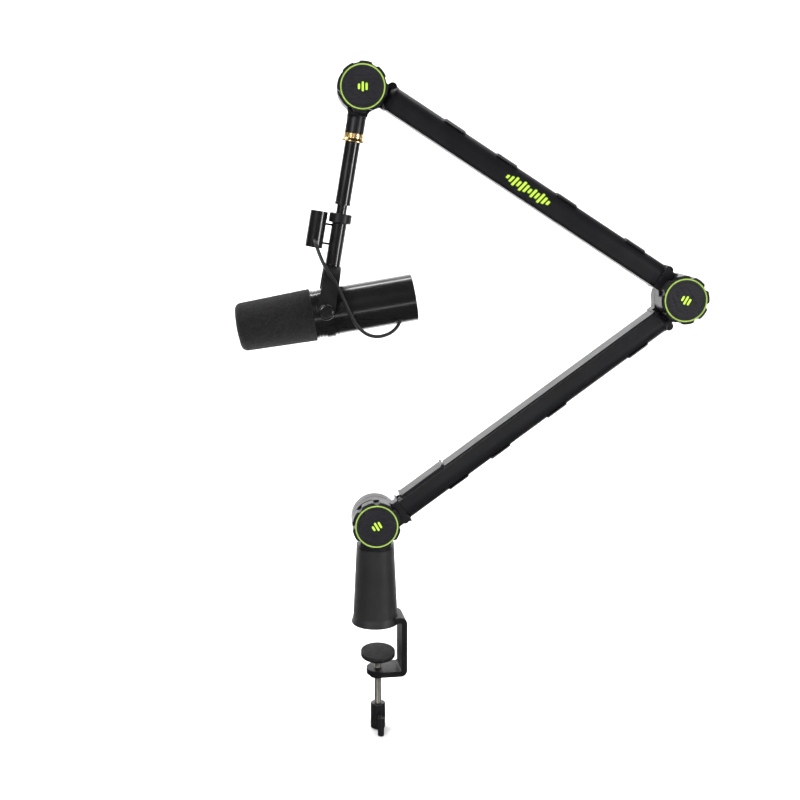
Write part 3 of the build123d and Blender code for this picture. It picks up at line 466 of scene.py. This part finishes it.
# ---- captive lead ----
def make_lead():
    """Thin flexible lead: a tube along a smooth route."""
    curve = bpy.data.curves.new("lead_route", "CURVE")
    curve.dimensions = "3D"
    curve.resolution_u = LEAD_STEPS
    spline = curve.splines.new("NURBS")
    spline.points.add(len(LEAD_ROUTE) - 1)
    for point, place in zip(spline.points, LEAD_ROUTE):
        point.co = (*place, 1)
    spline.order_u = 3
    spline.use_endpoint_u = True
    route = bpy.data.objects.new("lead_route", curve)
    line = bpy.data.meshes.new_from_object(route)
    bpy.data.meshes.remove(line)
    curve.bevel_depth = LEAD_DIAMETER / 2
    curve.bevel_resolution = LEAD_FACETS
    curve.use_fill_caps = True
    tube = bpy.data.meshes.new_from_object(route)
    bpy.data.objects.remove(route)
    bpy.data.curves.remove(curve)
    for polygon in tube.polygons:
        polygon.use_smooth = True
    piece = bpy.data.objects.new("microphone_lead", tube)
    bpy.context.scene.collection.objects.link(piece)
    dress(piece, JACKET)
    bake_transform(piece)
    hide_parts("mic_cable")


make_lead()


# ---- knob badges: relief lines and a plain level-bar mark ----
BADGE_ROWS = (-0.0118, -0.0079, -0.0040, 0.0, 0.0040, 0.0079, 0.0118)
BADGE_DASH = 0.0085
BADGE_DASH_GAP = 0.0032
BADGE_DASHES = 4
BADGE_STEP = 0.0011
BADGE_STEP_START = 0.0012
BADGE_STEP_END = 0.0008
BADGE_FACETS = 2
BADGE_LINE = 0.0005
BADGE_FIELD = 0.0180
BADGE_CENTRE = 0.0082
MARK_BARS = (0.0058, 0.0100, 0.0076)
MARK_WIDTH = 0.0023
MARK_PITCH = 0.0039
MARK_RAISED = 0.00018
MARK_END_STEPS = 8


def badge_point(centre, turn, face, across, high):
    """A point on a badge's face, from its own left-right and up-down distances."""
    right = Vector((math.cos(turn), 0, math.sin(turn)))
    above = Vector((-math.sin(turn), 0, math.cos(turn)))
    point = centre + right * across + above * high
    return Vector((point.x, face, point.z))


def make_badge_lines(centre, turn, face, name):
    """Short stepped lines in rows, left out around the middle and beyond the field."""
    curve = bpy.data.curves.new(f"{name}_badge_lines", "CURVE")
    curve.dimensions = "3D"
    curve.bevel_depth = BADGE_LINE
    curve.bevel_resolution = BADGE_FACETS
    pitch = BADGE_DASH + BADGE_DASH_GAP
    for row, high in enumerate(BADGE_ROWS):
        reach = math.sqrt(BADGE_FIELD ** 2 - high ** 2)
        start = -(BADGE_DASHES - 1) / 2 * pitch + (pitch / 2 if row % 2 else 0)
        for dash in range(BADGE_DASHES):
            left = start + dash * pitch
            right = left + BADGE_DASH
            middle = (left + right) / 2
            path = [
                (left, high), (middle - BADGE_STEP_START, high),
                (middle + BADGE_STEP_END, high - BADGE_STEP), (right, high - BADGE_STEP),
            ]
            path = [(x, z) for x, z in path if abs(x) < reach and math.hypot(x, z) > BADGE_CENTRE]
            if len(path) < 2:
                continue
            spline = curve.splines.new("POLY")
            spline.points.add(len(path) - 1)
            for point, (across, up_by) in zip(spline.points, path):
                point.co = (*badge_point(centre, turn, face, across, up_by), 1)
    piece = bpy.data.objects.new(f"{name}_badge_lines", curve)
    bpy.context.scene.collection.objects.link(piece)
    dress(piece, BADGE)
    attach(piece, f"{name}_clamp_knob")


def make_badge_mark(centre, turn, face, name):
    """Three level bars with rounded ends in the badge's middle."""
    mesh = bmesh.new()
    for index, height in enumerate(MARK_BARS):
        across = (index - 1) * MARK_PITCH
        half = height / 2 - MARK_WIDTH / 2
        outline = []
        for end, start_angle in ((half, 0), (-half, 180)):
            for i in range(MARK_END_STEPS + 1):
                angle = math.radians(start_angle + 180 * i / MARK_END_STEPS)
                outline.append(badge_point(
                    centre, turn, face,
                    across + MARK_WIDTH / 2 * math.cos(angle),
                    end + MARK_WIDTH / 2 * math.sin(angle),
                ))
        raised = [point + front * MARK_RAISED for point in outline]
        add_grid(mesh, [outline, raised])
    finish_mesh(f"{name}_badge_mark", mesh, MARK, f"{name}_clamp_knob", smooth=False)


# Each badge is turned by this many degrees about its hub.
BADGES = ((shoulder, "shoulder", 30), (elbow, "elbow", -30), (head, "head", 0))
for hub, hub_name, degrees in BADGES:
    badge_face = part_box(f"{hub_name}_knob_badge")[0].y
    make_badge_mark(hub, math.radians(degrees), badge_face, hub_name)
    make_badge_lines(hub, math.radians(degrees), badge_face, hub_name)


# ---- level-bar mark printed on the upper arm ----
TUBE_RADIUS = 0.0135
TUBE_CENTRE = 0.0078
ARM_MARK_FROM_HEAD = 0.2045
ARM_MARK_OFFSET = 0.0065
ARM_MARK_RAISED = 0.0001
ARM_MARK_LEVELS = 10
ARM_MARK_BARS = (0.35, 0.6, 0.9, 0.55, 1.0, 0.75, 0.45, 0.85, 0.6, 1.0, 0.7, 0.4)
ARM_MARK_HEIGHT = 0.0118
ARM_MARK_LENGTH = 0.056
ARM_MARK_BAR = 0.0028
ARM_MARK_LEAN = 0.0012


def make_arm_mark():
    """A row of leaning bars of uneven height along the arm's front."""
    down_arm = -upper_along
    outer = Vector((-down_arm.z, 0, down_arm.x))
    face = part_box("upper_arm_tube")[0].y
    middle = head + down_arm * ARM_MARK_FROM_HEAD
    pitch = ARM_MARK_LENGTH / len(ARM_MARK_BARS)
    mesh = bmesh.new()
    for index, share in enumerate(ARM_MARK_BARS):
        across = (index - (len(ARM_MARK_BARS) - 1) / 2) * pitch
        half = ARM_MARK_HEIGHT * share / 2
        rows = []
        for level in range(ARM_MARK_LEVELS + 1):
            along = 2 * level / ARM_MARK_LEVELS - 1
            high = ARM_MARK_OFFSET + half * along
            side = math.sqrt(TUBE_RADIUS ** 2 - max(0, high - TUBE_CENTRE) ** 2)
            shift = across + ARM_MARK_LEAN * share * along
            row = []
            for wide, depth in ((-1, 0), (-1, ARM_MARK_RAISED), (1, ARM_MARK_RAISED), (1, 0)):
                point = middle + down_arm * (shift + wide * ARM_MARK_BAR / 2) + outer * high
                row.append(Vector((point.x, face + TUBE_RADIUS - side - depth, point.z)))
            rows.append(row)
        add_grid(mesh, rows)
    finish_mesh("upper_arm_mark", mesh, MARK, "upper_arm", smooth=False)


make_arm_mark()


# ---- clamp screw with a real thread ----
THREAD_PITCH = 0.00125
THREAD_DEPTH = 0.00055
THREAD_STEP = 0.00022
THREAD_FADE = 0.0025
SCREW_RADIUS = 0.00393
SCREW_TIP = 0.0031
SCREW_AROUND = 40
SCREW_STEP_HEIGHT = 0.0004
SCREW_STEP_RADIUS = 0.0030
SCREW_STEM_RADIUS = 0.0024


def make_clamp_screw():
    """Threaded rod from under the ball down into the wing handle, plain at its top."""
    low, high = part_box("clamp_screw")
    thread_end = high.z - SCREW_TIP
    rows = []
    levels = int((thread_end - low.z) / THREAD_STEP)
    for level in range(levels + 1):
        z = low.z + (thread_end - low.z) * level / levels
        fade = min(1, (thread_end - z) / THREAD_FADE)
        row = []
        for i in range(SCREW_AROUND):
            turn = i / SCREW_AROUND
            ridge = abs(((z / THREAD_PITCH - turn) % 1) * 2 - 1)
            radius = SCREW_RADIUS - THREAD_DEPTH * ridge * fade
            angle = 2 * math.pi * turn
            row.append((
                screw_axis.x + radius * math.cos(angle), screw_axis.y + radius * math.sin(angle), z,
            ))
        rows.append(row)
    step = thread_end + SCREW_STEP_HEIGHT
    tip = ((SCREW_STEP_RADIUS, step), (SCREW_STEM_RADIUS, step), (SCREW_STEM_RADIUS, high.z))
    for radius, z in tip:
        rows.append([
            (
                screw_axis.x + radius * math.cos(2 * math.pi * i / SCREW_AROUND),
                screw_axis.y + radius * math.sin(2 * math.pi * i / SCREW_AROUND),
                z,
            )
            for i in range(SCREW_AROUND)
        ])
    mesh = bmesh.new()
    add_grid(mesh, rows)
    piece = finish_mesh("threaded_screw", mesh, ZINC, "screw")
    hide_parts("clamp_screw")


make_clamp_screw()


# ---- camera, floor and light ----
def aim(location, target):
    """Rotation that points an object's -Z at a target."""
    return (Vector(target) - Vector(location)).to_track_quat("-Z", "Y").to_euler()


def make_camera():
    """Camera at the photograph's viewing angle."""
    data = bpy.data.cameras.new("camera")
    data.lens = CAMERA_LENS
    data.sensor_width = CAMERA_SENSOR
    data.clip_end = CAMERA_FAR
    data.shift_x, data.shift_y = CAMERA_SHIFT
    camera = bpy.data.objects.new("camera", data)
    camera.location = CAMERA_AT
    camera.rotation_euler = (math.radians(90 - CAMERA_DOWN), 0, math.radians(-CAMERA_RIGHT))
    bpy.context.scene.collection.objects.link(camera)
    bpy.context.scene.camera = camera


def make_floor():
    """Pale seamless sweeps behind the object and, mirrored, under and in front of it.

    Only the one behind shows in glossy surfaces.
    """
    level = cad_box[0][2] - FLOOR_GAP
    rise = [(SWEEP_FROM, level)]
    for i in range(1, SWEEP_STEPS + 1):
        angle = math.radians(90 * i / SWEEP_STEPS)
        rise.append((
            SWEEP_FROM + SWEEP_RADIUS * math.sin(angle),
            level + SWEEP_RADIUS * (1 - math.cos(angle)),
        ))
    rise.append((SWEEP_FROM + SWEEP_RADIUS, level + SWEEP_WALL))
    meeting = (SHEETS_MEET, level)
    mirrored = [(-y - FRONT_SWEEP_SHIFT, z) for y, z in reversed(rise)]
    add_sheet("backdrop", [meeting, *rise])
    floor = add_sheet("floor", [*mirrored, meeting])
    floor.visible_glossy = False


def add_sheet(name, profile):
    """White paper sheet, wide across X, with the given profile of Y and Z."""
    mesh = bmesh.new()
    left = [mesh.verts.new((-SHEET_HALF_WIDTH, y, z)) for y, z in profile]
    right = [mesh.verts.new((SHEET_HALF_WIDTH, y, z)) for y, z in profile]
    for i in range(len(profile) - 1):
        mesh.faces.new((left[i], right[i], right[i + 1], left[i + 1]))
    data = bpy.data.meshes.new(name)
    mesh.to_mesh(data)
    mesh.free()
    for polygon in data.polygons:
        polygon.use_smooth = True
    sheet = bpy.data.objects.new(name, data)
    bpy.context.scene.collection.objects.link(sheet)
    dress(sheet, Finish("studio_paper", PAPER_COLOR, PAPER_ROUGHNESS).material)
    return sheet


def make_light(name, location, target, width, height, power, seen_in_gloss):
    """Rectangular softbox, never seen by the camera itself."""
    data = bpy.data.lights.new(name, "AREA")
    data.shape = "RECTANGLE"
    data.size = width
    data.size_y = height
    data.energy = power
    light = bpy.data.objects.new(name, data)
    light.location = location
    light.rotation_euler = aim(location, target)
    light.visible_glossy = seen_in_gloss
    light.visible_camera = False
    bpy.context.scene.collection.objects.link(light)


# name, place, target, width, height, watts, seen in gloss
LIGHTS = (
    ("overhead", (0.1, 0.1, 2.3), (0.1, 0.0, 0.2), 1.9, 1.6, 62, False),
    ("key", (-1.2, -2.0, 1.4), (0.1, 0.0, 0.35), 0.8, 0.8, 36, True),
    ("strip", (1.5, -1.2, 0.2), (0.1, 0.0, 0.3), 0.22, 0.8, 15, True),
    ("low", (0.12, -1.0, 0.02), (0.1, 0.0, 0.35), 1.1, 0.08, 1.0, True),
    ("backdrop", (0.0, 0.9, 2.4), (0.0, 2.7, 0.6), 3.0, 0.8, 110, True),
)

make_camera()
make_floor()
for light in LIGHTS:
    make_light(*light)
world = bpy.data.worlds.new("studio")
world.use_nodes = True
world.node_tree.nodes["Background"].inputs["Color"].default_value = (1, 1, 1, 1)
world.node_tree.nodes["Background"].inputs["Strength"].default_value = WORLD_STRENGTH
bpy.context.scene.world = world
bpy.context.scene.view_settings.view_transform = "Standard"
